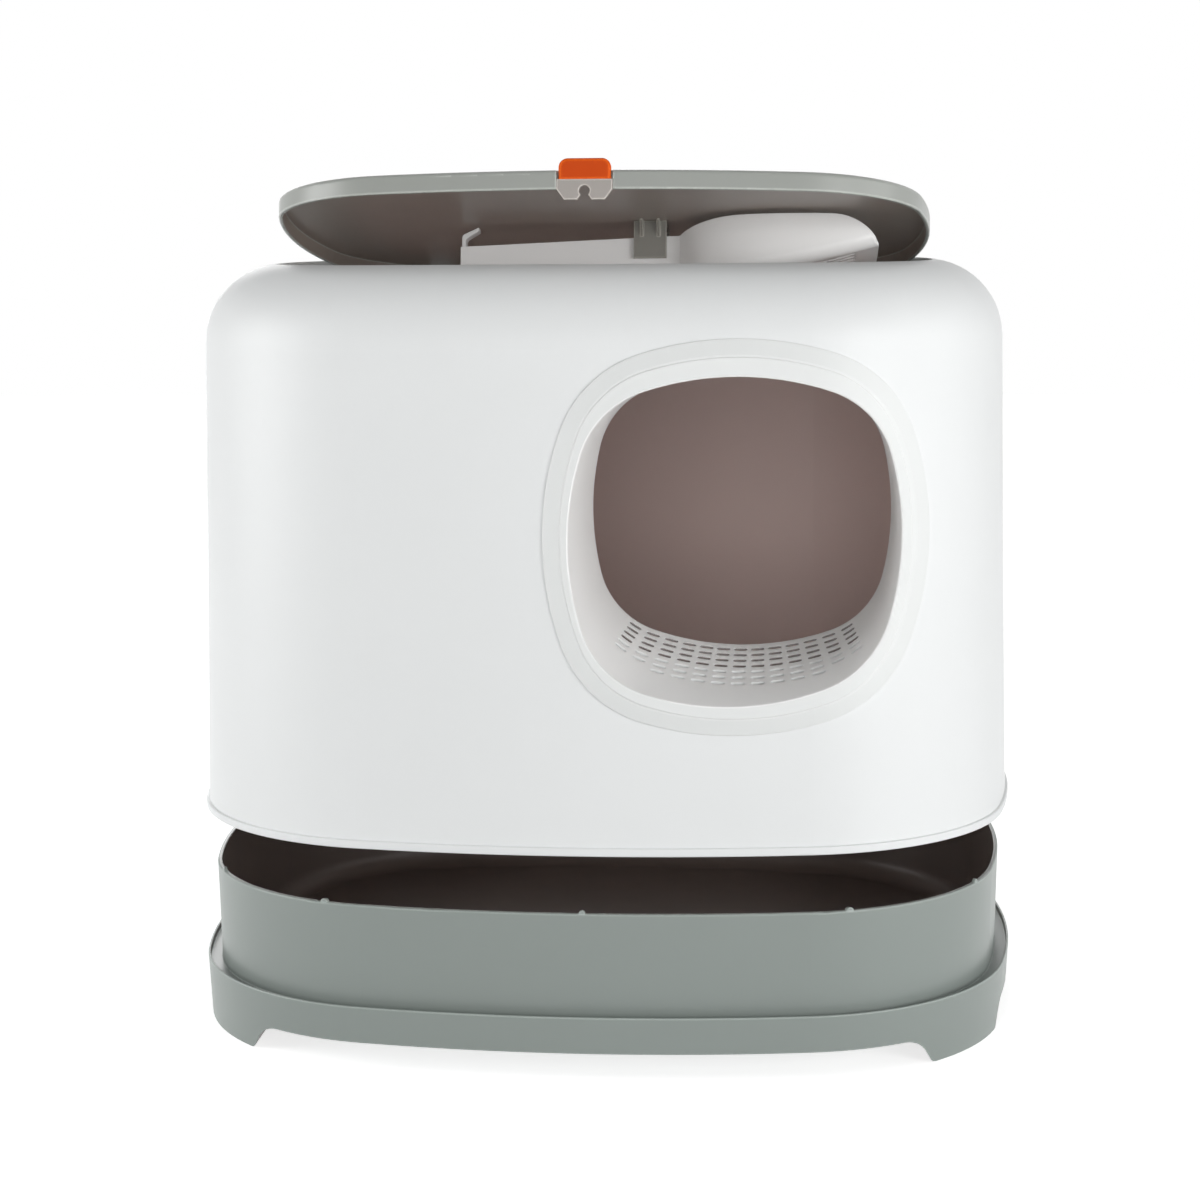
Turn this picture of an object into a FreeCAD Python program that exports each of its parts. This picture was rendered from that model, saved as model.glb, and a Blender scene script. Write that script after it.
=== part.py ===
import FreeCAD
import Part
import math
import os

# Covered litter box: tray, lift-off hood with an entrance tunnel, hinged top lid and stowed scoop.
# Millimetres, +Z up, front towards -Y, origin on the floor under the middle of the tray.
# It is drawn as it is shown: the hood lifted off the tray and the lid part open.

V = FreeCAD.Vector
X_AXIS = V(1, 0, 0)
Y_AXIS = V(0, 1, 0)
Z_AXIS = V(0, 0, 1)

# Plan form of the whole box, at the top edge of the tray's skirt
tray_width = 540.0
tray_depth = 450.0
front_bow_radius = 840.0
side_bow_radius = 490.0
plan_corner_radius = 150.0

# Clearances and cutting
overrun = 6.0
lift_clearance = 0.5
seat_clearance = 0.2
pin_clearance = 0.05
side_play = 0.4

# Tray
skirt_height = 40.0
skirt_wall = 2.5
skirt_taper = 2.0
skirt_lip = 1.6
skirt_lip_round = 0.6
gutter_depth = 4.0
arch_height = 17.0
arch_end_radius = 15.0
arch_end_slope = 63.0
front_arch_half = 215.0
side_arch_half = 110.0
foot_tip_round = 4.0
foot_wall = 2.5
foot_depth = 48.0
foot_sole_width = 12.0
foot_sole_thickness = 3.0
tray_wall = 2.5
tray_rim_height = 102.0
tray_wall_draft = 1.7
tray_floor_thickness = 3.0
tray_floor_round = 16.0
tray_rim_round = 0.8
nub_radius = 2.0
nub_setback = 0.4
nub_angles = (-90.0, -129.0, -51.0, -152.0, -28.0, 90.0, 129.0, 51.0, 152.0, 28.0)

# Hood
hood_lift_shown = 103.0
hood_height = 350.0
hood_wall = 2.2
hood_draft = 7.9
hood_top_round = 50.0
hood_lip_proud = 1.8
hood_lip_height = 5.0
hood_lip_round = 0.8

# Lid recess in the hood's top
recess_depth = 15.0
deck_thickness = 2.5
recess_wall = 2.5
lid_gap = 2.0
deck_ledge = 26.0

# Lid
lid_inset = 58.0
lid_rim_height = 12.0
lid_rim_wall = 2.5
lid_plate = 2.5
lid_edge_round = 3.0
lid_rim_round = 0.8
lid_open_shown = 10.7

# Hinge
hinge_from_back = 75.0
hinge_height_over_deck = 5.5
hinge_back_gap = 8.0
hinge_swing_room = 21.0
hinge_spacing = 230.0
knuckle_radius = 3.8
knuckle_length = 14.0
ear_length = 5.0
pin_radius = 2.0
pin_chamfer = 0.4

# Catch plate and its pocket in the deck
catch_width = 33.6
catch_foot_width = 24.5
catch_drop = 6.2
catch_thickness = 2.5
catch_flange = 12.0
catch_flange_thickness = 2.0
keyhole_radius = 3.3
keyhole_neck = 4.6
keyhole_flare = 8.8
keyhole_drop = 1.0
stud_radius = 2.0
pocket_play = 3.0
pocket_wall = 2.0

# Pull tab
tab_width = 31.5
tab_height = 12.8
tab_thickness = 4.0
tab_round = 5.5
tab_chamfer = 1.0
tab_tongue = 12.0
tab_tongue_thickness = 2.0

# Scoop clip under the lid
clip_x = 29.4
clip_width = 21.5
clip_drop = 24.5
clip_wall = 2.4
clip_base = 2.0
gusset_reach = 7.0
gusset_drop = 10.5
gusset_thickness = 2.2
gusset_spacing = 11.0
clip_grip_clearance = 0.3

# Scoop
scoop_end_x = -97.0
scoop_neck_x = 49.0
scoop_crest_x = 88.0
scoop_rim_end_x = 148.0
scoop_mouth_x = 178.0
scoop_half_width = 55.0
scoop_mouth_half_width = 48.0
scoop_depth = 40.0
scoop_lip_depth = 19.0
scoop_wall = 2.0
scoop_lid_gap = 3.0
scoop_mouth_round = 14.0
scoop_floor_round = 8.0
handle_half_width = 15.0
handle_end_half_width = 11.0
handle_neck_drop = 6.5
handle_end_drop = 12.3
handle_bottom = 30.0
handle_round = 5.0
hook_width = 9.0
hook_thickness = 2.6
hook_reach = 11.0
hook_rise = 5.0
hook_lid_gap = 1.2
hook_round = 3.0
bowl_width_shares = (0.88, 1.0, 0.98)
bowl_depth_shares = (0.96, 0.87, 0.7)
slot_count = 9
slot_pitch = 9.6
slot_width = 4.2
slot_length = 74.0
slot_lip = 14.0

# Entrance tunnel
tunnel_x = 92.5
collar_height = 190.0
collar_width = 228.0
collar_tall = 234.0
collar_bow_radius = 190.0
collar_corner_radius = 72.0
collar_plate = 3.8
collar_band = 0.8
collar_step = 10.5
collar_slope = 9.5
collar_slope_rise = 2.8
collar_edge_round = 0.6
collar_mouth_round = 0.8
front_share = 0.5
side_share = 0.3
tunnel_inset = 14.5
tunnel_mouth_drop = 6.8
tunnel_wall = 2.2
tunnel_depth = 105.0
tunnel_narrowing = 7.0
tunnel_floor_rise = 18.0
tunnel_roof_drop = 3.5
slot_columns = 13
slot_rows = 7
perforation_length = 8.5
perforation_width = 4.0
perforation_turn = 7.5
perforation_row_pitch = 9.5
perforation_from_end = 9.0
perforation_top_share = 0.25

# Heights and places that follow from the sizes above
gutter_z = skirt_height - gutter_depth
tray_floor_height = arch_height + foot_wall / 2
hood_z = gutter_z + hood_lift_shown
hood_top_z = hood_z + hood_height
deck_z = hood_top_z - recess_depth
hinge_from_middle = tray_depth / 2 - hinge_from_back
hinge_z = deck_z + hinge_height_over_deck
lid_bottom_z = deck_z + seat_clearance
lid_top_z = lid_bottom_z + lid_rim_height
lid_under_z = lid_top_z - lid_plate

# Insets from the skirt's top edge that make the hood fit round the rim and inside the lip
hood_lip_inset = skirt_lip + lift_clearance
hood_wall_inset = hood_lip_inset + hood_lip_proud
rim_reach = tray_rim_height - gutter_z
rim_inset = hood_wall_inset + hood_wall + hood_draft * rim_reach / hood_height + lift_clearance
recess_inset = lid_inset - lid_gap
opening_inset = lid_inset + deck_ledge


def bowed_arcs(half_width, half_height, cap_radius, side_radius, corner, inset):
    """Eight tangent arcs of a bowed rectangle as (start, middle, end) points in its own plane."""
    cap_centre = half_height - cap_radius
    side_centre = half_width - side_radius
    # The corner's centre is as far from each bow's centre as their radii differ
    to_cap = cap_radius - corner
    to_side = side_radius - corner
    apart = math.hypot(side_centre, cap_centre)
    along = (to_cap ** 2 - to_side ** 2 + apart ** 2) / (2 * apart)
    across = math.sqrt(to_cap ** 2 - along ** 2)
    ux = side_centre / apart
    uy = -cap_centre / apart
    corner_x = along * ux + across * -uy
    corner_y = cap_centre + along * uy + across * ux
    if corner_x + corner_y < 0:
        corner_x = along * ux - across * -uy
        corner_y = cap_centre + along * uy - across * ux
    cap_angle = math.atan2(corner_y - cap_centre, corner_x)
    side_angle = math.atan2(corner_y, corner_x - side_centre)
    middle_angle = (cap_angle + side_angle) / 2
    cap = (cap_radius - inset) * math.cos(cap_angle), cap_centre + (cap_radius - inset) * math.sin(cap_angle)
    side = (side_centre + (side_radius - inset) * math.cos(side_angle),
            (side_radius - inset) * math.sin(side_angle))
    middle = (corner_x + (corner - inset) * math.cos(middle_angle),
              corner_y + (corner - inset) * math.sin(middle_angle))
    top = half_height - inset
    right = half_width - inset
    return [
        ((-cap[0], cap[1]), (0, top), cap),
        (cap, middle, side),
        (side, (right, 0), (side[0], -side[1])),
        ((side[0], -side[1]), (middle[0], -middle[1]), (cap[0], -cap[1])),
        ((cap[0], -cap[1]), (0, -top), (-cap[0], -cap[1])),
        ((-cap[0], -cap[1]), (-middle[0], -middle[1]), (-side[0], -side[1])),
        ((-side[0], -side[1]), (-right, 0), (-side[0], side[1])),
        ((-side[0], side[1]), (-middle[0], middle[1]), (-cap[0], cap[1])),
    ]


def wire_of(arcs, place):
    """Closed wire of the arcs, put into space by the function place."""
    return Part.Wire([Part.Arc(place(a), place(b), place(c)).toShape() for a, b, c in arcs])


def outline(inset, height):
    """The box's plan outline, set in from the skirt's top edge, at one height."""
    arcs = bowed_arcs(tray_width / 2, tray_depth / 2, front_bow_radius, side_bow_radius,
                      plan_corner_radius, inset)
    return wire_of(arcs, lambda p: V(p[0], p[1], height))


def drafted(inset_low, low, inset_high, high):
    """Solid with drafted walls between two plan outlines."""
    return Part.makeLoft([outline(inset_low, low), outline(inset_high, high)], True, True)


def upright(inset, low, high):
    """Solid with upright walls on a plan outline."""
    return Part.Face(outline(inset, low)).extrude(Z_AXIS * (high - low))


def slab(x_low, x_high, y_low, y_high, z_low, z_high):
    """Box between two corners."""
    return Part.makeBox(x_high - x_low, y_high - y_low, z_high - z_low, V(x_low, y_low, z_low))


def prism(points, direction):
    """Solid made by pushing a closed polygon along a direction."""
    return Part.Face(Part.makePolygon(points + [points[0]])).extrude(direction)


def edges_at(shape, height):
    """Edges of a shape that lie wholly at one height."""
    tolerance = seat_clearance / 2
    return [edge for edge in shape.Edges
            if abs(edge.BoundBox.ZMin - height) < tolerance and abs(edge.BoundBox.ZMax - height) < tolerance]


def upright_edges(shape, x_low, x_high):
    """Upright straight edges of a shape between two places along X."""
    found = []
    for edge in shape.Edges:
        box = edge.BoundBox
        thin = seat_clearance / 2
        if box.XLength < thin and box.YLength < thin and x_low < box.XMin < x_high:
            found.append(edge)
    return found


def arch_cutter(half_span, top, direction, reach):
    """Cutter for a finger arch in the skirt: flat top, curved sloping ends and rounded tips of the feet."""
    slope = math.radians(arch_end_slope)
    along = Z_AXIS.cross(direction)

    def place(distance, height):
        return along * distance + Z_AXIS * height - direction * reach

    # From the foot's tip inwards: round tip, straight slope, then the curve up to the flat top
    fall = 1 - math.cos(slope)
    tip = half_span - foot_tip_round * math.sin(slope), foot_tip_round * fall
    straight_rise = top - (foot_tip_round + arch_end_radius) * fall
    curve = tip[0] - straight_rise / math.tan(slope), top - arch_end_radius * fall
    flat = curve[0] - arch_end_radius * math.sin(slope)
    tip_middle = (half_span - foot_tip_round * math.sin(slope / 2),
                  foot_tip_round * (1 - math.cos(slope / 2)))
    curve_middle = (flat + arch_end_radius * math.sin(slope / 2),
                    top - arch_end_radius * (1 - math.cos(slope / 2)))
    low = -overrun
    edges = [Part.makeLine(place(flat, top), place(-flat, top)),
             Part.makeLine(place(half_span, low), place(-half_span, low))]
    for side in (-1, 1):
        edges += [
            Part.makeLine(place(side * half_span, low), place(side * half_span, 0)),
            Part.Arc(place(side * half_span, 0), place(side * tip_middle[0], tip_middle[1]),
                     place(side * tip[0], tip[1])).toShape(),
            Part.makeLine(place(side * tip[0], tip[1]), place(side * curve[0], curve[1])),
            Part.Arc(place(side * curve[0], curve[1]), place(side * curve_middle[0], curve_middle[1]),
                     place(side * flat, top)).toShape(),
        ]
    outline_wire = Part.Wire(Part.__sortEdges__(edges))
    return Part.Face(outline_wire).extrude(direction * (2 * reach))


def foot_walls(half_span, direction, reach):
    """Walls that run inwards from an arch's ends and close the feet there."""
    walls = arch_cutter(half_span + foot_wall, arch_height + foot_wall, direction, reach)
    walls = walls.cut(arch_cutter(half_span, arch_height, direction, reach))
    ring = upright(skirt_taper + skirt_wall / 2, 0, tray_floor_height + foot_wall)
    ring = ring.cut(upright(foot_depth, -overrun, tray_rim_height))
    ends = half_span - arch_end_radius - foot_tip_round
    middle = slab(-ends, ends, -reach, reach, -overrun, tray_rim_height)
    if direction == X_AXIS:
        middle = slab(-reach, reach, -ends, ends, -overrun, tray_rim_height)
    return walls.common(ring).cut(middle)


def make_base_tray():
    """Tray with drafted walls, a skirt cut away between four corner feet, and a gutter for the hood."""
    gutter_under = gutter_z - skirt_wall
    skirt = drafted(skirt_taper, 0, 0, skirt_height)
    under_inset = skirt_taper * (1 - gutter_under / skirt_height) + skirt_wall
    low_inset = skirt_taper * (1 + overrun / skirt_height) + skirt_wall
    skirt = skirt.cut(drafted(low_inset, -overrun, under_inset, gutter_under))
    skirt = skirt.cut(upright(skirt_lip, gutter_z, skirt_height + overrun))
    sole = upright(skirt_taper, 0, foot_sole_thickness)
    sole = sole.cut(upright(skirt_taper + foot_sole_width, -overrun, foot_sole_thickness + overrun))
    skirt = skirt.fuse(sole.common(drafted(skirt_taper, 0, 0, skirt_height)))
    skirt = skirt.makeFillet(skirt_lip_round, edges_at(skirt, skirt_height))
    skirt = skirt.fuse(foot_walls(front_arch_half, Y_AXIS, tray_depth))
    skirt = skirt.fuse(foot_walls(side_arch_half, X_AXIS, tray_width))
    skirt = skirt.cut(arch_cutter(front_arch_half, arch_height, Y_AXIS, tray_depth))
    skirt = skirt.cut(arch_cutter(side_arch_half, arch_height, X_AXIS, tray_width))

    floor_inset = rim_inset + tray_wall_draft
    pan = drafted(floor_inset, tray_floor_height, rim_inset, tray_rim_height)
    pan = pan.makeFillet(tray_floor_round, edges_at(pan, tray_floor_height))
    pan = pan.makeFillet(tray_rim_round, edges_at(pan, tray_rim_height))
    inside_low = tray_floor_height + tray_floor_thickness
    inside = drafted(floor_inset + tray_wall, inside_low, rim_inset + tray_wall, tray_rim_height + overrun)
    inside = inside.makeFillet(tray_floor_round - tray_wall, edges_at(inside, inside_low))

    # Half-round locating nubs on top of the rim, cut from a ring by radial bars
    ring = upright(rim_inset + nub_setback, tray_rim_height - nub_radius, tray_rim_height + nub_radius)
    ring = ring.cut(upright(rim_inset + tray_wall, tray_rim_height - tray_wall - overrun,
                            tray_rim_height + overrun))
    bars = []
    for angle in nub_angles:
        bar = Part.makeCylinder(nub_radius, tray_width, V(0, 0, tray_rim_height), X_AXIS)
        bars.append(bar.rotate(V(0, 0, 0), Z_AXIS, angle))
    nubs = ring.common(Part.makeCompound(bars))
    return skirt.fuse(pan).cut(inside).fuse(nubs).removeSplitter()


def hood_inset(height):
    """How far the hood's outer wall is set in at a height over its bottom edge."""
    return hood_wall_inset + hood_draft * height / hood_height


def hood_form(grown):
    """The hood as a closed form with a rounded top, grown outwards, or inwards if negative."""
    low = -overrun
    high = hood_height + grown
    form = drafted(hood_inset(low) - grown, hood_z + low, hood_inset(high) - grown, hood_z + high)
    return form.makeFillet(hood_top_round + grown, edges_at(form, hood_z + high))


def squircle(inset, rise_low, drop_high, y):
    """Outline of the collar or tunnel in an upright plane, with its floor raised and roof lowered."""
    half_tall = (collar_tall - rise_low - drop_high) / 2
    middle_z = hood_z + collar_height + (rise_low - drop_high) / 2
    arcs = bowed_arcs(collar_width / 2, half_tall, collar_bow_radius, collar_bow_radius,
                      collar_corner_radius, inset)
    return wire_of(arcs, lambda p: V(tunnel_x + p[0], y, middle_z + p[1]))


def collar_prism(inset):
    """Upright bar through the hood's front with the collar's outline."""
    return Part.Face(squircle(inset, 0, 0, -tray_depth / 2 - overrun)).extrude(Y_AXIS * (tray_depth / 2))


def tunnel_form(wall, front_y, back_y):
    """Tapered bar of the tunnel from before the collar to past its inner end."""
    front = squircle(tunnel_inset - wall, 0, tunnel_mouth_drop, front_y)
    back = squircle(tunnel_inset + tunnel_narrowing - wall, tunnel_floor_rise, tunnel_roof_drop, back_y)
    return Part.makeLoft([front, back], True, True)


def recess_form(wall, low, high):
    """The lid's recess, grown by a wall: round in front, square behind for the lid's swinging corners."""
    back_y = hinge_from_middle + hinge_back_gap + wall
    form = upright(recess_inset - wall, low, high)
    form = form.common(slab(-tray_width, tray_width, -tray_depth, back_y, low, high))
    trough_front = hinge_from_middle - hinge_swing_room
    lid_back = upright(lid_inset, low, high).slice(Y_AXIS, trough_front)[0]
    half_trough = lid_back.BoundBox.XMax + lid_gap + wall
    trough = slab(-half_trough, half_trough, trough_front, back_y, low, high)
    return form.fuse(trough)


def make_hood_shell():
    """Hood with rounded top, lip, lid recess with a deck round the opening, hinge ears and catch pocket."""
    solid = hood_form(0)
    lip = upright(hood_lip_inset, hood_z, hood_z + hood_lip_height)
    lip = lip.makeFillet(hood_lip_round, edges_at(lip, hood_z) + edges_at(lip, hood_z + hood_lip_height))
    bottom = slab(-tray_width, tray_width, -tray_depth, tray_depth, hood_z - tray_width, hood_z)
    shell = solid.cut(bottom).fuse(lip).cut(hood_form(-hood_wall))

    deck = recess_form(recess_wall, deck_z - deck_thickness, hood_top_z + overrun)
    shell = shell.fuse(deck.common(solid))
    pocket_half_width = catch_width / 2 + lid_gap
    lid_front = -(tray_depth / 2 - lid_inset)
    pocket_front = lid_front - pocket_play
    pocket_back = lid_front + catch_thickness + pocket_play
    pocket_low = deck_z - catch_drop - pocket_play
    shell = shell.fuse(slab(-pocket_half_width - pocket_wall, pocket_half_width + pocket_wall,
                            pocket_front - pocket_wall, pocket_back + pocket_wall,
                            pocket_low - pocket_wall, deck_z))
    shell = shell.cut(recess_form(0, deck_z, hood_top_z + overrun))
    shell = shell.cut(upright(opening_inset, deck_z - deck_thickness - overrun, hood_top_z)
                      .common(slab(-tray_width, tray_width, pocket_back + pocket_wall, tray_depth,
                                   hood_z, hood_top_z)))
    shell = shell.cut(slab(-pocket_half_width, pocket_half_width, pocket_front, pocket_back,
                           pocket_low, hood_top_z + overrun))
    stud_z = lid_bottom_z - keyhole_drop
    shell = shell.fuse(Part.makeCylinder(stud_radius, pocket_back - pocket_front + pocket_wall,
                                         V(0, pocket_front - pocket_wall / 2, stud_z), Y_AXIS))

    # Hinge ears stand on the deck in pairs, with a bore for the pin
    for x_low, x_high in ear_spans():
        ear = slab(x_low, x_high, hinge_from_middle - knuckle_radius, hinge_from_middle + knuckle_radius,
                   deck_z - deck_thickness / 2, hinge_z)
        eye = Part.makeCylinder(knuckle_radius, x_high - x_low, V(x_low, hinge_from_middle, hinge_z), X_AXIS)
        shell = shell.fuse(ear).fuse(eye)
    for centre in hinge_centres():
        shell = shell.cut(pin_bar(centre, pin_radius + pin_clearance, hinge_pin_length() + overrun))

    hole = collar_prism(tunnel_inset - tunnel_wall - lift_clearance)
    return shell.cut(hole).removeSplitter()


def hinge_centres():
    """Places of the two hinges along X."""
    return -hinge_spacing / 2, hinge_spacing / 2


def ear_spans():
    """Where each hinge ear starts and ends along X."""
    spans = []
    inner = knuckle_length / 2 + side_play
    for centre in hinge_centres():
        spans.append((centre - inner - ear_length, centre - inner))
        spans.append((centre + inner, centre + inner + ear_length))
    return spans


def hinge_pin_length():
    """A pin reaches from the outside of one ear to the outside of the other."""
    return knuckle_length + 2 * side_play + 2 * ear_length


def pin_bar(centre, radius, length):
    """Round bar on the hinge axis."""
    return Part.makeCylinder(radius, length, V(centre - length / 2, hinge_from_middle, hinge_z), X_AXIS)


def make_hinge_pin(centre):
    """Plain hinge pin with chamfered ends."""
    pin = pin_bar(centre, pin_radius, hinge_pin_length())
    ends = [edge for edge in pin.Edges if edge.BoundBox.XLength < pin_radius / 2]
    return pin.makeChamfer(pin_chamfer, ends)


def front_rim(shape, inward):
    """Edges where a face that looks to the front meets a side that looks to or from the tunnel's axis."""
    found = []
    for edge in shape.Edges:
        point = edge.valueAt((edge.FirstParameter + edge.LastParameter) / 2)
        to_axis = V(tunnel_x - point.x, 0, hood_z + collar_height - point.z)
        has_front = False
        has_side = False
        for face in shape.ancestorsOfType(edge, Part.Face):
            normal = face.normalAt(*face.Surface.parameter(point))
            if normal.y < -front_share:
                has_front = True
            elif abs(normal.y) < side_share and (normal.dot(to_axis) > 0) == inward:
                has_side = True
        if has_front and has_side:
            found.append(edge)
    return found


def make_entrance_tunnel():
    """Collar that lies on the hood's front and a tapering tunnel with a perforated floor."""
    skin = hood_form(seat_clearance)
    plate = collar_prism(0).common(hood_form(seat_clearance + collar_plate)).cut(skin)
    band = collar_prism(collar_step).common(hood_form(seat_clearance + collar_plate + collar_band)).cut(skin)
    front_y = -tray_depth / 2 - overrun
    back_y = front_y + overrun + hood_wall_inset + tunnel_depth
    tube = tunnel_form(tunnel_wall, front_y, back_y)
    tube = tube.common(hood_form(seat_clearance + collar_plate + collar_band))
    plate = plate.makeChamfer(collar_slope_rise, collar_slope, front_rim(plate, False))
    band = band.makeFillet(collar_edge_round, front_rim(band, False))
    body = plate.fuse(band).fuse(tube)
    body = body.cut(tunnel_form(0, front_y - overrun, back_y + overrun))
    body = body.makeFillet(collar_mouth_round, front_rim(body, True))
    return body.cut(perforations(back_y)).removeSplitter()


def perforations(back_y):
    """Cutters for the rows of rounded slots in the tunnel's floor, turned about its middle line."""
    half = (perforation_length - perforation_width) / 2
    radius = perforation_width / 2
    middle_z = hood_z + collar_height
    reach = collar_tall
    start = V(tunnel_x, 0, middle_z - reach)
    edges = [
        Part.makeLine(start + V(-half, -radius, 0), start + V(half, -radius, 0)),
        Part.Arc(start + V(half, -radius, 0), start + V(half + radius, 0, 0),
                 start + V(half, radius, 0)).toShape(),
        Part.makeLine(start + V(half, radius, 0), start + V(-half, radius, 0)),
        Part.Arc(start + V(-half, radius, 0), start + V(-half - radius, 0, 0),
                 start + V(-half, -radius, 0)).toShape(),
    ]
    cutter = Part.Face(Part.Wire(edges)).extrude(Z_AXIS * (reach - collar_width * perforation_top_share))
    cutters = []
    last = slot_columns // 2
    for column in range(-last, last + 1):
        rows = slot_rows - max(0, abs(column) - last // 2) // 2
        for row in range(rows):
            y = back_y - perforation_from_end - row * perforation_row_pitch
            turned = cutter.copy()
            turned.rotate(V(tunnel_x, 0, middle_z), Y_AXIS, column * perforation_turn)
            turned.translate(Y_AXIS * y)
            cutters.append(turned)
    return Part.makeCompound(cutters)


def opened(shape):
    """A piece of the lid, turned about the hinge from closed to as shown."""
    turned = shape.copy()
    turned.rotate(V(0, hinge_from_middle, hinge_z), X_AXIS, -lid_open_shown)
    return turned


def make_lid():
    """Flat lid with a rim, straight at the hinge, with two knuckles and a notch for tab and catch."""
    front_part = slab(-tray_width, tray_width, -tray_depth, hinge_from_middle, hood_z, lid_top_z + overrun)
    lid = upright(lid_inset, lid_bottom_z, lid_top_z)
    lid = lid.makeFillet(lid_edge_round, edges_at(lid, lid_top_z))
    lid = lid.makeFillet(lid_rim_round, edges_at(lid, lid_bottom_z)).common(front_part)
    lid = lid.cut(upright(lid_inset + lid_rim_wall, lid_bottom_z - overrun, lid_under_z))
    lid_front = -(tray_depth / 2 - lid_inset)
    half_notch = catch_width / 2 + seat_clearance
    lid = lid.cut(slab(-half_notch, half_notch, lid_front - overrun, lid_front + tab_thickness,
                       lid_bottom_z - overrun, lid_top_z + overrun))
    # The rim is cut away wherever a hinge ear stands
    for x_low, x_high in ear_spans():
        lid = lid.cut(slab(x_low - side_play, x_high + side_play, hinge_from_middle - 2 * knuckle_radius,
                           hinge_from_middle + overrun, lid_bottom_z - overrun, lid_under_z))
    for centre in hinge_centres():
        x_low = centre - knuckle_length / 2
        web = slab(x_low, x_low + knuckle_length, hinge_from_middle - knuckle_radius, hinge_from_middle,
                   hinge_z, lid_under_z + lid_plate / 2)
        eye = pin_bar(centre, knuckle_radius, knuckle_length)
        lid = lid.fuse(web).fuse(eye)
    for centre in hinge_centres():
        lid = lid.cut(pin_bar(centre, pin_radius + pin_clearance, knuckle_length + overrun))
    return opened(lid.removeSplitter())


def make_catch_plate():
    """Plate in the lid's front notch with a keyhole for the stud and a flange under the lid."""
    lid_front = -(tray_depth / 2 - lid_inset)
    middle_z = (lid_bottom_z + lid_top_z) / 2
    low_z = lid_bottom_z - catch_drop
    half = catch_width / 2
    foot = catch_foot_width / 2
    points = [V(-half, lid_front, middle_z), V(half, lid_front, middle_z), V(half, lid_front, lid_bottom_z),
              V(foot, lid_front, low_z), V(-foot, lid_front, low_z), V(-half, lid_front, lid_bottom_z)]
    plate = prism(points, Y_AXIS * catch_thickness)
    flange_top = lid_under_z
    neck = slab(-foot, foot, lid_front + tab_thickness + seat_clearance, lid_front + catch_flange,
                flange_top - catch_flange_thickness, flange_top)
    arm = slab(-foot, foot, lid_front, lid_front + tab_thickness + seat_clearance,
               middle_z - catch_flange_thickness, middle_z)
    riser = slab(-foot, foot, lid_front + tab_thickness + seat_clearance,
                 lid_front + tab_thickness + seat_clearance + catch_flange_thickness,
                 middle_z - catch_flange_thickness, flange_top)
    plate = plate.fuse(arm).fuse(riser).fuse(neck)
    hole_z = lid_bottom_z - keyhole_drop
    hole = Part.makeCylinder(keyhole_radius, catch_thickness + 2 * overrun, V(0, lid_front - overrun, hole_z),
                             Y_AXIS)
    neck_half = keyhole_neck / 2
    flare_half = keyhole_flare / 2
    start = lid_front - overrun
    neck_z = hole_z - keyhole_radius * math.sqrt(0.5)
    flare = prism([V(-neck_half, start, hole_z), V(neck_half, start, hole_z), V(neck_half, start, neck_z),
                   V(flare_half, start, low_z), V(flare_half, start, low_z - overrun),
                   V(-flare_half, start, low_z - overrun), V(-flare_half, start, low_z),
                   V(-neck_half, start, neck_z)], Y_AXIS * (catch_thickness + 2 * overrun))
    return opened(plate.cut(hole).cut(flare).removeSplitter())


def make_pull_tab():
    """Finger tab in the upper half of the notch, with rounded top and a tongue over the lid."""
    lid_front = -(tray_depth / 2 - lid_inset)
    low_z = (lid_bottom_z + lid_top_z) / 2
    half = tab_width / 2
    tab = slab(-half, half, lid_front, lid_front + tab_thickness, low_z, low_z + tab_height)
    corners = [edge for edge in tab.Edges if edge.BoundBox.YLength > tab_thickness / 2
               and edge.BoundBox.ZMin > low_z + tab_height / 2]
    tab = tab.makeFillet(tab_round, corners)
    front_edges = [edge for edge in tab.Edges if edge.BoundBox.YMax < lid_front + tab_thickness / 2
                   and edge.BoundBox.ZMax > low_z + tab_height / 4]
    tab = tab.makeChamfer(tab_chamfer, front_edges)
    tongue = slab(-half + tab_round, half - tab_round, lid_front + tab_thickness / 2,
                  lid_front + tab_thickness + tab_tongue, lid_top_z, lid_top_z + tab_tongue_thickness)
    return opened(tab.fuse(tongue).removeSplitter())


def make_scoop_clip():
    """Bracket under the lid: a base and two hanging jaws with gussets, which grip the scoop's handle."""
    x_low = clip_x - clip_width / 2
    x_high = clip_x + clip_width / 2
    inner = handle_half_width + clip_grip_clearance
    outer = inner + clip_wall
    top = lid_under_z
    clip = slab(x_low, x_high, -outer, outer, top - clip_base, top)
    for side in (-1, 1):
        y_low = min(side * inner, side * outer)
        clip = clip.fuse(slab(x_low, x_high, y_low, y_low + clip_wall, top - clip_drop, top))
        for step in (-1, 1):
            x = clip_x + step * gusset_spacing / 2 - gusset_thickness / 2
            rib = prism([V(x, side * inner, top), V(x, side * (outer + gusset_reach), top),
                         V(x, side * outer, top - gusset_drop), V(x, side * inner, top - gusset_drop)],
                        X_AXIS * gusset_thickness)
            clip = clip.fuse(rib)
    return opened(clip.removeSplitter())


def plan_bar(points, top):
    """Tall bar of the scoop on a plan outline given as (x, y)."""
    low = top - 2 * scoop_depth
    return prism([V(x, y, low) for x, y in points], Z_AXIS * (3 * scoop_depth))


def side_bar(edges):
    """Bar across the scoop's whole width on a closed outline of edges in its middle plane."""
    side = scoop_half_width + overrun
    face = Part.Face(Part.Wire(edges))
    face.translate(Y_AXIS * -side)
    return face.extrude(Y_AXIS * (2 * side))


def side_lines(points):
    """Straight edges through points given as (x, z)."""
    return [Part.makeLine(V(a[0], 0, a[1]), V(b[0], 0, b[1])) for a, b in zip(points, points[1:])]


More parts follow.
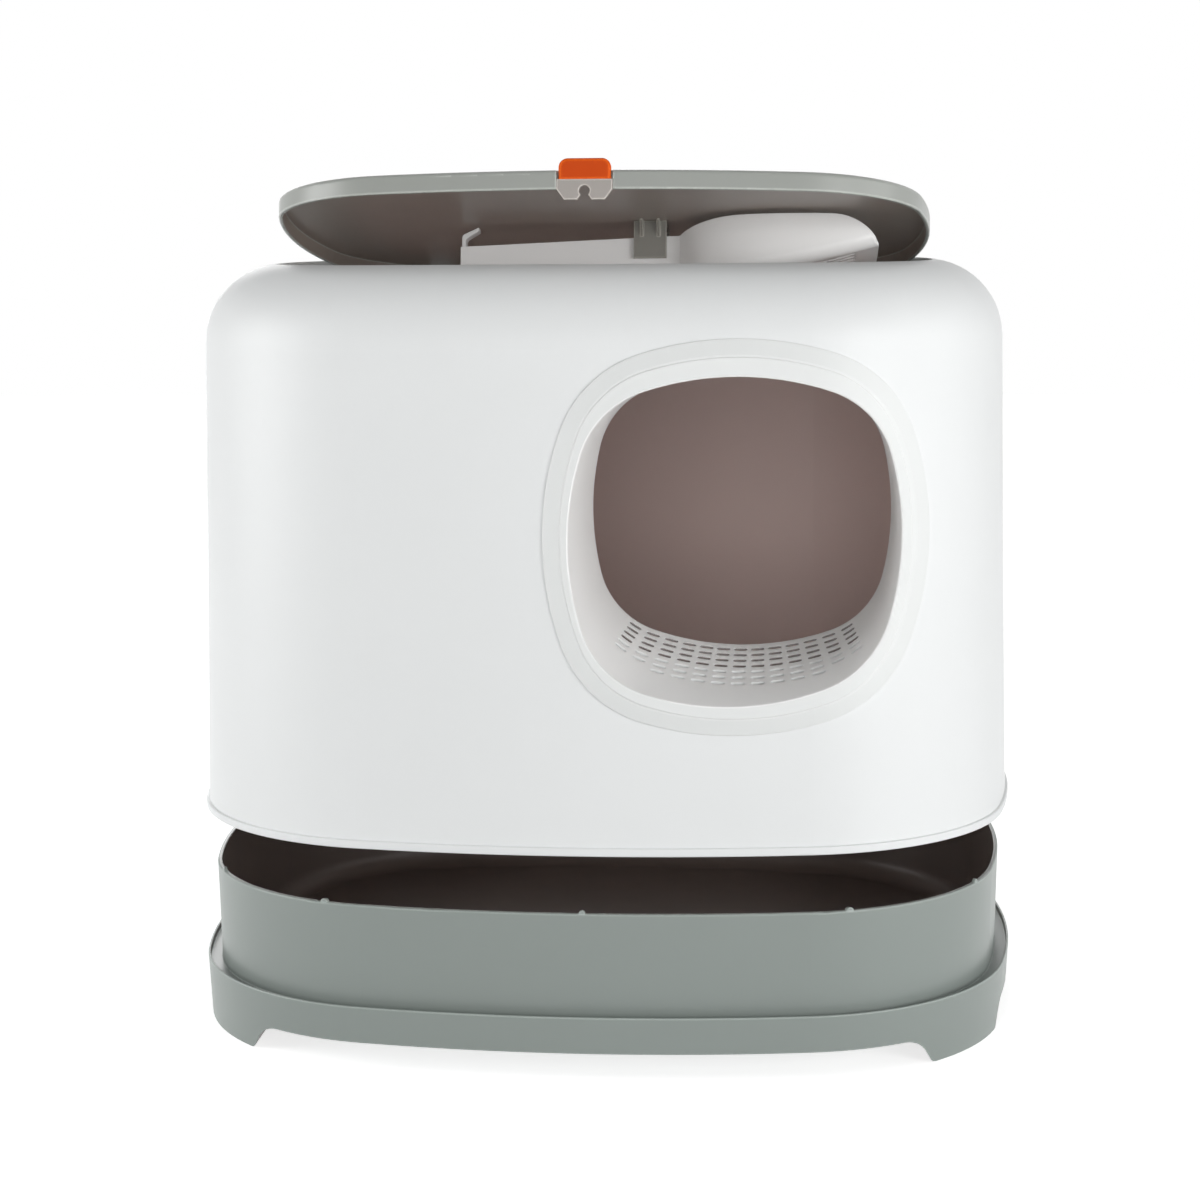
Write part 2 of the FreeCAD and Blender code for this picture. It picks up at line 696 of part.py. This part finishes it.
def rim_fall(crest_x, end_x, top, drop):
    """Arc in the side view that leaves the rim's level at its crest and falls by a drop at its end."""
    across = end_x - crest_x
    radius = (across ** 2 + drop ** 2) / (2 * drop)
    half_turn = math.asin(across / radius) / 2
    middle = V(crest_x + radius * math.sin(half_turn), 0, top - radius + radius * math.cos(half_turn))
    return Part.Arc(V(crest_x, 0, top), middle, V(end_x, 0, top - drop)).toShape()


def scoop_section(x, half_width, depth, wall):
    """Closed outline across the scoop with round lower corners, drawn in by a wall and open above."""
    high = lid_under_z - scoop_lid_gap + overrun
    low = lid_under_z - scoop_lid_gap - depth + wall
    side = half_width - wall
    radius = scoop_floor_round - wall
    turn = radius * (1 - math.sqrt(0.5))
    inner = side - radius
    return Part.Wire([
        Part.makeLine(V(x, side, high), V(x, -side, high)),
        Part.makeLine(V(x, -side, high), V(x, -side, low + radius)),
        Part.Arc(V(x, -side, low + radius), V(x, -side + turn, low + turn), V(x, -inner, low)).toShape(),
        Part.makeLine(V(x, -inner, low), V(x, inner, low)),
        Part.Arc(V(x, inner, low), V(x, side - turn, low + turn), V(x, side, low + radius)).toShape(),
        Part.makeLine(V(x, side, low + radius), V(x, side, high)),
    ])


def scoop_bowl(wall):
    """The bowl lofted from the handle over its shoulder to the mouth; with a wall it runs out there."""
    step = (scoop_mouth_x - scoop_neck_x) / (len(bowl_width_shares) + 1)
    stations = [(scoop_neck_x + wall, handle_half_width, handle_bottom)]
    for index, (width_share, depth_share) in enumerate(zip(bowl_width_shares, bowl_depth_shares), 1):
        x = scoop_neck_x + index * step
        stations.append((x, scoop_half_width * width_share, scoop_depth * depth_share))
    stations.append((scoop_mouth_x, scoop_mouth_half_width, scoop_lip_depth))
    form = Part.makeLoft([scoop_section(*station, wall) for station in stations], True)
    if wall:
        mouth = Part.Face(scoop_section(*stations[-1], wall))
        form = form.fuse(mouth.extrude(X_AXIS * overrun))
    return form


def scoop_outline():
    """What the bowl is trimmed to: a rim with rounded ends in the side view, round mouth corners in plan."""
    top = lid_under_z - scoop_lid_gap
    low = top - 2 * scoop_depth
    neck_z = top - handle_neck_drop
    mouth_z = top - scoop_lip_depth + scoop_wall
    edges = [rim_fall(scoop_crest_x, scoop_neck_x, top, handle_neck_drop)]
    edges += side_lines([(scoop_crest_x, top), (scoop_rim_end_x, top)])
    edges += [rim_fall(scoop_rim_end_x, scoop_mouth_x, top, scoop_lip_depth - scoop_wall)]
    edges += side_lines([(scoop_mouth_x, mouth_z), (scoop_mouth_x, low), (scoop_neck_x, low),
                         (scoop_neck_x, neck_z)])
    side = scoop_half_width + overrun
    mouth_half = scoop_mouth_half_width
    mouth = plan_bar([(scoop_neck_x, -side), (scoop_rim_end_x, -side), (scoop_mouth_x, -mouth_half),
                      (scoop_mouth_x, mouth_half), (scoop_rim_end_x, side), (scoop_neck_x, side)], top)
    corners = upright_edges(mouth, scoop_rim_end_x + seat_clearance, scoop_mouth_x + seat_clearance)
    return side_bar(edges).common(mouth.makeFillet(scoop_mouth_round, corners))


def scoop_handle(wall):
    """The channel handle as a form with a rounded floor, drawn in by a wall; with a wall it is open above."""
    top = lid_under_z - scoop_lid_gap
    reach = overrun if wall else 0
    end_x = scoop_end_x + wall
    neck_x = scoop_neck_x + scoop_wall
    bar = plan_bar([(end_x, -handle_end_half_width + wall), (neck_x, -handle_half_width + wall),
                    (neck_x, handle_half_width - wall), (end_x, handle_end_half_width - wall)], top)
    low = top - handle_bottom + wall
    form = bar.common(side_bar(side_lines([(end_x, low), (end_x, top - handle_end_drop + reach),
                                           (neck_x, top - handle_neck_drop + reach), (neck_x, low),
                                           (end_x, low)])))
    lengthwise = [edge for edge in edges_at(form, low) if edge.BoundBox.XLength > handle_round]
    return form.makeFillet(handle_round - wall, lengthwise)


def make_scoop():
    """Slotted scoop: open bowl with sides that fall to the mouth, channel handle and hanging hook."""
    top = lid_under_z - scoop_lid_gap
    body = scoop_bowl(0).common(scoop_outline()).fuse(scoop_handle(0))
    body = body.cut(scoop_bowl(scoop_wall)).cut(scoop_handle(scoop_wall))

    # The hook is a strip that stands on the handle's end wall and leans over the handle
    hook_low = top - handle_bottom / 2 - handle_end_drop / 2
    hook_top = lid_under_z - hook_lid_gap
    bend_z = hook_top - hook_rise
    hook = side_bar(side_lines([(scoop_end_x, hook_low), (scoop_end_x, bend_z),
                                (scoop_end_x + hook_reach, hook_top),
                                (scoop_end_x + hook_reach, hook_top - hook_thickness),
                                (scoop_end_x + hook_thickness, bend_z - hook_thickness),
                                (scoop_end_x + hook_thickness, hook_low), (scoop_end_x, hook_low)]))
    hook = hook.common(slab(scoop_end_x, scoop_end_x + hook_reach, -hook_width / 2, hook_width / 2,
                            hook_low, hook_top))
    bends = [edge for edge in hook.Edges if edge.BoundBox.XMax < scoop_end_x + hook_reach / 2
             and edge.BoundBox.YLength > hook_width / 2 and edge.BoundBox.ZMin > hook_low + hook_thickness]
    body = body.fuse(hook.makeFillet(hook_round, bends))
    slots = []
    for index in range(slot_count):
        y = (index - (slot_count - 1) / 2) * slot_pitch
        x_high = scoop_mouth_x - slot_lip
        bar = slab(x_high - slot_length, x_high, y - slot_width / 2, y + slot_width / 2,
                   top - scoop_depth - overrun, top - scoop_lip_depth / 2)
        ends = upright_edges(bar, x_high - slot_length - slot_width, x_high + slot_width)
        slots.append(bar.makeFillet(slot_width / 2 - seat_clearance, ends))
    return opened(body.cut(Part.makeCompound(slots)).removeSplitter())


os.makedirs("parts", exist_ok=True)
left, right = hinge_centres()
pieces = {
    "base_tray": make_base_tray(),
    "hood_shell": make_hood_shell(),
    "entrance_tunnel": make_entrance_tunnel(),
    "lid": make_lid(),
    "hinge_pin_left": make_hinge_pin(left),
    "hinge_pin_right": make_hinge_pin(right),
    "catch_plate": make_catch_plate(),
    "pull_tab": make_pull_tab(),
    "scoop_clip": make_scoop_clip(),
    "scoop": make_scoop(),
}
for name, shape in pieces.items():
    shape.exportStep("parts/" + name + ".step")
    print(name, len(shape.Solids), "solid,", shape.isValid(), round(shape.Volume), shape.BoundBox)
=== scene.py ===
import bpy
import math
from mathutils import Matrix, Vector


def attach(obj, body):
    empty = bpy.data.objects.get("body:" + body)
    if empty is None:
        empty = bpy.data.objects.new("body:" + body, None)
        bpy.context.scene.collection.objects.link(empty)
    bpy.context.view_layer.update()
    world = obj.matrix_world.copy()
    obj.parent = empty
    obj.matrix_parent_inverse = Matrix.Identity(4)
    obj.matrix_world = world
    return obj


# Covered litter box in moulded plastic, shown with the hood lifted off its tray and the lid part open.
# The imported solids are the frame: each section below dresses one piece of it, from the tray upwards.
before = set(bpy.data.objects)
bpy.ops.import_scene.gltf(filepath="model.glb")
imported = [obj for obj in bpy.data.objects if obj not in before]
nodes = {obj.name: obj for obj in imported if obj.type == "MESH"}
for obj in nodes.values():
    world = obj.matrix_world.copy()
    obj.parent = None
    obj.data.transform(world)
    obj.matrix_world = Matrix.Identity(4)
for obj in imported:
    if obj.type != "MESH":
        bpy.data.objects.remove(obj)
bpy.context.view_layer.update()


# Base tray: a deep grey tray whose skirt stands on four corner feet, with a gutter for the hood's lip.
# One injection moulding in satin polypropylene; its inside is painted a darker brown as shade.
# It stands on the floor and carries everything else.
def painted(red, green, blue):
    """A colour written as 0 to 255, as the linear values that a shader works in."""
    full = 255
    toe_end = 0.04045
    toe_slope = 12.92
    curve_offset = 0.055
    curve_power = 2.4
    linear = []
    for value in (red, green, blue):
        share = value / full
        if share <= toe_end:
            linear.append(share / toe_slope)
        else:
            linear.append(((share + curve_offset) / (1 + curve_offset)) ** curve_power)
    return (*linear, 1.0)


def shader_group(name, inputs, outputs):
    """A new shader node group: inputs as name, type and first value, outputs as name and type."""
    group = bpy.data.node_groups.new(name, "ShaderNodeTree")
    for label, kind, value in inputs:
        socket = group.interface.new_socket(label, in_out="INPUT", socket_type=kind)
        socket.default_value = value
    for label, kind in outputs:
        group.interface.new_socket(label, in_out="OUTPUT", socket_type=kind)
    return group


def number(tree, operation, *values):
    """The result of a sum or comparison in a node tree, on sockets and plain numbers."""
    node = tree.nodes.new("ShaderNodeMath")
    node.operation = operation
    for socket, value in zip(node.inputs, values):
        if isinstance(value, float):
            socket.default_value = value
        else:
            tree.links.new(value, socket)
    return node.outputs[0]


def vector(tree, operation, *values):
    """The result of a vector sum in a node tree. SCALE takes a vector and then a number."""
    node = tree.nodes.new("ShaderNodeVectorMath")
    node.operation = operation
    tree.links.new(values[0], node.inputs[0])
    if len(values) > 1:
        tree.links.new(values[1], node.inputs["Scale" if operation == "SCALE" else 1])
    return node.outputs["Value" if operation in ("DOT_PRODUCT", "LENGTH") else "Vector"]


def colour_mix(tree, share, first, second):
    """A colour from first to second by a share. Each of the two is a socket or a fixed colour."""
    first_socket = 6
    second_socket = 7
    colour_result = 2
    node = tree.nodes.new("ShaderNodeMix")
    node.data_type = "RGBA"
    tree.links.new(share, node.inputs["Factor"])
    for socket, colour in ((first_socket, first), (second_socket, second)):
        if isinstance(colour, tuple):
            node.inputs[socket].default_value = colour
        else:
            tree.links.new(colour, node.inputs[socket])
    return node.outputs[colour_result]


def moulded_skin():
    """Node group for moulded plastic: cloudy tone, uneven gloss and the fine grain of the tool's surface."""
    cloud_per_metre = 9.0
    cloud_detail = 3.0
    patch_per_metre = 45.0
    patch_detail = 4.0
    grain_detail = 2.0
    noise_middle = 0.5
    group = shader_group("moulded_skin", (
        ("Colour", "NodeSocketColor", (0.5, 0.5, 0.5, 1)),
        ("Gloss", "NodeSocketFloat", 0.4),
        ("Gloss spread", "NodeSocketFloat", 0.06),
        ("Cloud", "NodeSocketFloat", 0.03),
        ("Grain size", "NodeSocketFloat", 0.0006),
    ), (
        ("Colour", "NodeSocketColor"),
        ("Roughness", "NodeSocketFloat"),
        ("Grain", "NodeSocketFloat"),
    ))
    join = group.links.new
    enter = group.nodes.new("NodeGroupInput")
    leave = group.nodes.new("NodeGroupOutput")
    place = group.nodes.new("ShaderNodeTexCoord")

    def noise(detail):
        node = group.nodes.new("ShaderNodeTexNoise")
        node.inputs["Detail"].default_value = detail
        join(place.outputs["Object"], node.inputs["Vector"])
        return node

    cloud = noise(cloud_detail)
    cloud.inputs["Scale"].default_value = cloud_per_metre
    cloud_swing = number(group, "SUBTRACT", cloud.outputs["Fac"], noise_middle)
    tone = number(group, "MULTIPLY_ADD", cloud_swing, enter.outputs["Cloud"], 1.0)
    join(vector(group, "SCALE", enter.outputs["Colour"], tone), leave.inputs["Colour"])

    patch = noise(patch_detail)
    patch.inputs["Scale"].default_value = patch_per_metre
    patch_swing = number(group, "SUBTRACT", patch.outputs["Fac"], noise_middle)
    gloss = number(group, "MULTIPLY_ADD", patch_swing, enter.outputs["Gloss spread"], enter.outputs["Gloss"])
    join(gloss, leave.inputs["Roughness"])

    grain = noise(grain_detail)
    grain_per_metre = number(group, "DIVIDE", 1.0, enter.outputs["Grain size"])
    join(grain_per_metre, grain.inputs["Scale"])
    join(grain.outputs["Fac"], leave.inputs["Grain"])
    return group


def looks_inside():
    """Node group for a shell's inside: faces that look to its axis, or along it, between given heights."""
    turned_to_axis = -0.1
    turned_along_axis = 0.5
    group = shader_group("looks_inside", (
        ("Axis point", "NodeSocketVector", (0, 0, 0)),
        ("Up", "NodeSocketVector", (0, 0, 1)),
        ("Facing", "NodeSocketFloat", 1.0),
        ("Facing low", "NodeSocketFloat", 0.0),
        ("Facing high", "NodeSocketFloat", 0.0),
        ("Inward low", "NodeSocketFloat", 0.0),
        ("Inward high", "NodeSocketFloat", 0.0),
    ), (
        ("Inward", "NodeSocketFloat"),
        ("Faced", "NodeSocketFloat"),
    ))
    join = group.links.new
    enter = group.nodes.new("NodeGroupInput")
    leave = group.nodes.new("NodeGroupOutput")
    place = group.nodes.new("ShaderNodeTexCoord")
    axis = enter.outputs["Up"]

    def between(mask, height, low, high):
        mask = number(group, "MULTIPLY", mask, number(group, "GREATER_THAN", height, enter.outputs[low]))
        return number(group, "MULTIPLY", mask, number(group, "LESS_THAN", height, enter.outputs[high]))

    from_point = vector(group, "SUBTRACT", place.outputs["Object"], enter.outputs["Axis point"])
    height = vector(group, "DOT_PRODUCT", from_point, axis)
    tilt = vector(group, "DOT_PRODUCT", place.outputs["Normal"], axis)
    across = vector(group, "SUBTRACT", from_point, vector(group, "SCALE", axis, height))
    sideways = vector(group, "SUBTRACT", place.outputs["Normal"], vector(group, "SCALE", axis, tilt))
    outward = vector(group, "NORMALIZE", across)
    inward = number(group, "LESS_THAN", vector(group, "DOT_PRODUCT", sideways, outward), turned_to_axis)
    facing = number(group, "MULTIPLY", tilt, enter.outputs["Facing"])
    faced = number(group, "GREATER_THAN", facing, turned_along_axis)
    join(between(inward, height, "Inward low", "Inward high"), leave.inputs["Inward"])
    join(between(faced, height, "Facing low", "Facing high"), leave.inputs["Faced"])
    return group


def painted_edge_highlights():
    """Node group for a moulding's edges: rounds them by a radius and paints a highlight on them in a paler
    colour.
    """
    edge_samples = 6
    flat_agreement = 0.998
    edge_agreement = 0.965
    group = shader_group("painted_edge_highlights", (
        ("Colour", "NodeSocketColor", (0.5, 0.5, 0.5, 1)),
        ("Pale", "NodeSocketColor", (0.8, 0.8, 0.8, 1)),
        ("Radius", "NodeSocketFloat", 0.0008),
        ("Light", "NodeSocketFloat", 0.5),
    ), (
        ("Colour", "NodeSocketColor"),
        ("Normal", "NodeSocketVector"),
    ))
    join = group.links.new
    enter = group.nodes.new("NodeGroupInput")
    leave = group.nodes.new("NodeGroupOutput")
    edge = group.nodes.new("ShaderNodeBevel")
    edge.samples = edge_samples
    join(enter.outputs["Radius"], edge.inputs["Radius"])
    join(edge.outputs["Normal"], leave.inputs["Normal"])
    flat = group.nodes.new("ShaderNodeNewGeometry")
    at_edge = group.nodes.new("ShaderNodeMapRange")
    at_edge.inputs["From Min"].default_value = flat_agreement
    at_edge.inputs["From Max"].default_value = edge_agreement
    join(enter.outputs["Light"], at_edge.inputs["To Max"])
    agreement = vector(group, "DOT_PRODUCT", edge.outputs["Normal"], flat.outputs["Normal"])
    join(agreement, at_edge.inputs["Value"])
    paler = colour_mix(group, at_edge.outputs["Result"], enter.outputs["Colour"], enter.outputs["Pale"])
    join(paler, leave.inputs["Colour"])
    return group


skin_group = moulded_skin()
inside_group = looks_inside()
edge_highlights_group = painted_edge_highlights()


def plastic(name, colour, gloss, grain_depth, inner=None, edge_round=0.0008, edge_highlight_share=0.0, shine=0.5):
    """A moulded plastic with rounded edges that carry a painted highlight. inner holds the inside's painted
    light and shade colours and where that inside is.
    """
    pale_gain = 1.35
    pale_lift = 10
    brightest = 255
    material = bpy.data.materials.new(name)
    material.use_nodes = True
    tree = material.node_tree
    join = tree.links.new
    shader = tree.nodes["Principled BSDF"]
    shader.inputs["Specular IOR Level"].default_value = shine

    skin = tree.nodes.new("ShaderNodeGroup")
    skin.node_tree = skin_group
    skin.inputs["Colour"].default_value = painted(*colour)
    skin.inputs["Gloss"].default_value = gloss
    join(skin.outputs["Roughness"], shader.inputs["Roughness"])
    # Inside faces get the painted shade or painted light colours given in inner.
    if inner:
        inside = tree.nodes.new("ShaderNodeGroup")
        inside.node_tree = inside_group
        inside.inputs["Axis point"].default_value = inner["axis_point"]
        inside.inputs["Up"].default_value = inner["up"]
        inside.inputs["Facing"].default_value = inner["facing"]
        for way in ("facing", "inward"):
            low, high = inner[way + "_between"]
            inside.inputs[way.capitalize() + " low"].default_value = low
            inside.inputs[way.capitalize() + " high"].default_value = high
        walls = colour_mix(tree, inside.outputs["Inward"], painted(*colour), painted(*inner["colour"]))
        ends = colour_mix(tree, inside.outputs["Faced"], walls, painted(*inner["facing_colour"]))
        join(ends, skin.inputs["Colour"])

    # Paint a highlight on the edges: a paler colour where the rounded normal turns away from the face.
    edges = tree.nodes.new("ShaderNodeGroup")
    edges.node_tree = edge_highlights_group
    pale = [min(brightest, value * pale_gain + pale_lift) for value in colour]
    edges.inputs["Pale"].default_value = painted(*pale)
    edges.inputs["Radius"].default_value = edge_round
    edges.inputs["Light"].default_value = edge_highlight_share
    join(skin.outputs["Colour"], edges.inputs["Colour"])
    join(edges.outputs["Colour"], shader.inputs["Base Color"])

    bump = tree.nodes.new("ShaderNodeBump")
    bump.inputs["Strength"].default_value = 1.0
    bump.inputs["Distance"].default_value = grain_depth
    join(skin.outputs["Grain"], bump.inputs["Height"])
    join(edges.outputs["Normal"], bump.inputs["Normal"])
    join(bump.outputs["Normal"], shader.inputs["Normal"])
    return material


def wear(node, material):
    """Put a material on a CAD node."""
    nodes[node].data.materials.clear()
    nodes[node].data.materials.append(material)


# The tray's inner walls and floor are painted a darker brown: painted shade.
tray_painted_shade = (98, 88, 83)
tray_grey = plastic("tray_grey", (140, 148, 144), gloss=0.38, grain_depth=0.00001, inner={
    "colour": tray_painted_shade,
    "facing_colour": tray_painted_shade,
    "axis_point": (0, 0, 0),
    "up": (0, 0, 1),
    "facing": 1.0,
    "facing_between": (0.010, 0.030),
    "inward_between": (-0.001, 0.1022),
}, edge_round=0.0014, edge_highlight_share=0.6)
wear("base_tray", tray_grey)


# Hood: the white shell that covers the tray, with a rolled lip below and a recess for the lid on top.
# One thin moulding in satin polypropylene, its inside painted a warm tint as shade. It drops over the tray's
# rim into the gutter.
hood_painted_warm_shade = (240, 216, 209)
hood_white = plastic("hood_white", (234, 236, 236), gloss=0.45, grain_depth=0.000012, inner={
    "colour": hood_painted_warm_shade,
    "facing_colour": hood_painted_warm_shade,
    "axis_point": (0, 0, 0),
    "up": (0, 0, 1),
    "facing": -1.0,
    "facing_between": (0.290, 0.4714),
    "inward_between": (0.1395, 0.4710),
})
wear("hood_shell", hood_white)


# Entrance tunnel: a broad collar on the hood's front and a tapering throat with a slotted floor.
# A separate white moulding that is pushed into the hood's hole from the front and snaps in.
# The slots of its four rear rows open on the dark below, so their walls are painted dark as shade.
slot_painted_shade = (84, 68, 60)
tunnel_white = plastic("tunnel_white", (232, 234, 233), gloss=0.45, grain_depth=0.000012, inner={
    # The throat's inner walls are painted whiter than the collar: painted light.
    "colour": (250, 250, 249),
    "facing_colour": slot_painted_shade,
    "axis_point": (0.0925, 0, 0.329),
    "up": (0, 1, 0),
    "facing": -1.0,
    "facing_between": (-0.158, -0.119),
    "inward_between": (-0.222, -0.110),
}, edge_round=0.0012, edge_highlight_share=0.5)
wear("entrance_tunnel", tunnel_white)


# Hinge pins: two short plain rods through the ears at the back of the recess.
# Moulded white plastic, pressed through the ears and the lid's knuckles.
pin_white = plastic("pin_white", (236, 236, 238), gloss=0.35, grain_depth=0.000005)
wear("hinge_pin_left", pin_white)
wear("hinge_pin_right", pin_white)


# Lid: a flat grey plate with a turned-down rim, round in front and straight along the hinge.
# One satin moulding; its underside is painted lighter and browner, as painted light with a warm shade tint.
# It turns on the two pins.
lid_tilt = math.radians(10.7)
lid_up = (0, math.sin(lid_tilt), math.cos(lid_tilt))
lid_underside_painted_light_and_shade = (172, 162, 154)
lid_grey = plastic("lid_grey", (155, 158, 153), gloss=0.32, grain_depth=0.00001, inner={
    "colour": lid_underside_painted_light_and_shade,
    "facing_colour": lid_underside_painted_light_and_shade,
    "axis_point": (0, 0.0026, 0.50735),
    "up": lid_up,
    "facing": -1.0,
    "facing_between": (0.0, 0.0048),
    "inward_between": (-0.0049, 0.006),
}, edge_round=0.0016, edge_highlight_share=0.8)
wear("lid", lid_grey)


# Catch plate: a small grey plate with a keyhole that clips over the stud in the hood's deck.
# Moulded separately and seated in the notch at the middle of the lid's front rim.
catch_grey = plastic("catch_grey", (163, 157, 152), gloss=0.4, grain_depth=0.000008,
                     edge_round=0.0014, edge_highlight_share=1.0)
wear("catch_plate", catch_grey)


# Pull tab: the orange finger tab over the catch plate, with a chamfered front edge.
# A through-coloured moulding whose tongue lies on top of the lid.
tab_orange = plastic("tab_orange", (206, 74, 14), gloss=0.5, grain_depth=0.000006,
                     edge_round=0.0024, edge_highlight_share=1.0, shine=0.15)
wear("pull_tab", tab_orange)


# Scoop clip: the bracket under the lid whose two ribbed jaws grip the scoop's handle.
# Moulded in a darker grey than the lid and fixed flat to the lid's underside.
clip_grey = plastic("clip_grey", (134, 132, 125), gloss=0.4, grain_depth=0.000008,
                    edge_round=0.0012, edge_highlight_share=1.0)
wear("scoop_clip", clip_grey)


# Scoop: the litter scoop with a slotted bowl, channel handle and hanging hook, stowed under the lid.
# One white moulding, held by its handle between the clip's jaws.
# Its white is set brighter than the hood's: its own white, partly painted light for the shade under the lid.
scoop_white = plastic("scoop_white", (250, 250, 249), gloss=0.42, grain_depth=0.000008, edge_highlight_share=0.4)
wear("scoop", scoop_white)


# Studio: a pale floor that runs on into the white background, and soft light from all sides and above.
# The camera and mirrored rays see floor and background as white; the floor still takes the box's shadow.
# The floor goes with the tray, so that the tray stands on it at every pose.
def white_rays(tree):
    """Which rays see the background: the camera's own, and those mirrored by or passed through a surface."""
    ray = tree.nodes.new("ShaderNodeLightPath")
    mirrored = number(tree, "MAXIMUM", ray.outputs["Is Glossy Ray"], ray.outputs["Is Transmission Ray"])
    return number(tree, "MAXIMUM", ray.outputs["Is Camera Ray"], mirrored)


floor_half = 6.0
floor_mesh = bpy.data.meshes.new("floor")
floor_mesh.from_pydata([(-floor_half, -floor_half, 0), (floor_half, -floor_half, 0),
                        (floor_half, floor_half, 0), (-floor_half, floor_half, 0)], [], [(0, 1, 2, 3)])
floor = bpy.data.objects.new("floor", floor_mesh)
bpy.context.scene.collection.objects.link(floor)
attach(floor, "tray")

white = (1, 1, 1, 1)
paper_grey = (0.82, 0.82, 0.82, 1)
paper_roughness = 0.9
paper_shine = 0.1
shadow_reach = 0.25
white_from = 0.75
glow_at_box = 0.72
glow_far_off = 1.0
floor_paper = bpy.data.materials.new("floor_paper")
floor_paper.use_nodes = True
paper_tree = floor_paper.node_tree
paper_shader = paper_tree.nodes["Principled BSDF"]
paper_shader.inputs["Base Color"].default_value = paper_grey
paper_shader.inputs["Roughness"].default_value = paper_roughness
paper_shader.inputs["Specular IOR Level"].default_value = paper_shine
paper_shader.inputs["Emission Color"].default_value = white
floor_place = paper_tree.nodes.new("ShaderNodeTexCoord")
from_box = vector(paper_tree, "LENGTH", floor_place.outputs["Object"])
run_out = paper_tree.nodes.new("ShaderNodeMapRange")
run_out.inputs["From Min"].default_value = shadow_reach
run_out.inputs["From Max"].default_value = white_from
run_out.inputs["To Min"].default_value = glow_at_box
run_out.inputs["To Max"].default_value = glow_far_off
paper_tree.links.new(from_box, run_out.inputs["Value"])
floor_glow = number(paper_tree, "MULTIPLY", run_out.outputs["Result"], white_rays(paper_tree))
paper_tree.links.new(floor_glow, paper_shader.inputs["Emission Strength"])
floor.data.materials.append(floor_paper)

fill_level = 0.03
world = bpy.data.worlds.new("studio")
bpy.context.scene.world = world
world.use_nodes = True
sky = world.node_tree.nodes["Background"]
sky.inputs["Color"].default_value = white
sky_level = number(world.node_tree, "MULTIPLY_ADD", white_rays(world.node_tree), 1.0 - fill_level, fill_level)
world.node_tree.links.new(sky_level, sky.inputs["Strength"])


def softbox(name, place, width, height, watts):
    """A soft rectangular lamp at a place, turned to the middle of the box."""
    box_middle = Vector((0, 0, 0.35))
    lamp = bpy.data.lights.new(name, "AREA")
    lamp.shape = "RECTANGLE"
    lamp.size = width
    lamp.size_y = height
    lamp.energy = watts
    holder = bpy.data.objects.new(name, lamp)
    bpy.context.scene.collection.objects.link(holder)
    holder.location = place
    holder.rotation_euler = (box_middle - Vector(place)).to_track_quat("-Z", "Y").to_euler()


softbox("left_softbox", (-2.3, -0.5, 0.75), width=1.4, height=1.4, watts=31)
softbox("right_softbox", (2.3, -0.3, 0.75), width=1.4, height=1.4, watts=12)
softbox("front_right_softbox", (1.9, -1.9, 0.75), width=1.2, height=0.9, watts=29)
softbox("front_softbox", (0.1, -3.2, 0.62), width=1.8, height=1.3, watts=22)
softbox("top_softbox", (0.0, -1.4, 2.4), width=1.8, height=1.4, watts=5)
softbox("rear_softbox", (-0.5, 2.9, 0.9), width=1.8, height=1.4, watts=26)

bpy.context.scene.view_settings.view_transform = "Standard"


# Camera: at the height of the lid, a little to the right, looking slightly down on the box.
# Its place, turn and lens were found by fitting the tray's and hood's outlines in the photograph.
camera_place = (0.1386, -1.6390, 0.5082)
camera_ahead = (-0.0874, 0.9850, -0.1489)
camera_roll = 0.0073
camera_data = bpy.data.cameras.new("camera")
camera_data.lens = 73.5
camera_data.sensor_width = 36.0
camera = bpy.data.objects.new("camera", camera_data)
bpy.context.scene.collection.objects.link(camera)
ahead = Vector(camera_ahead).normalized()
level = ahead.cross(Vector((0, 0, 1))).normalized()
upright = level.cross(ahead)
right = level * math.cos(camera_roll) - upright * math.sin(camera_roll)
up = upright * math.cos(camera_roll) + level * math.sin(camera_roll)
turn = Matrix((right, up, -ahead)).transposed().to_4x4()
camera.matrix_world = Matrix.Translation(camera_place) @ turn
bpy.context.scene.camera = camera
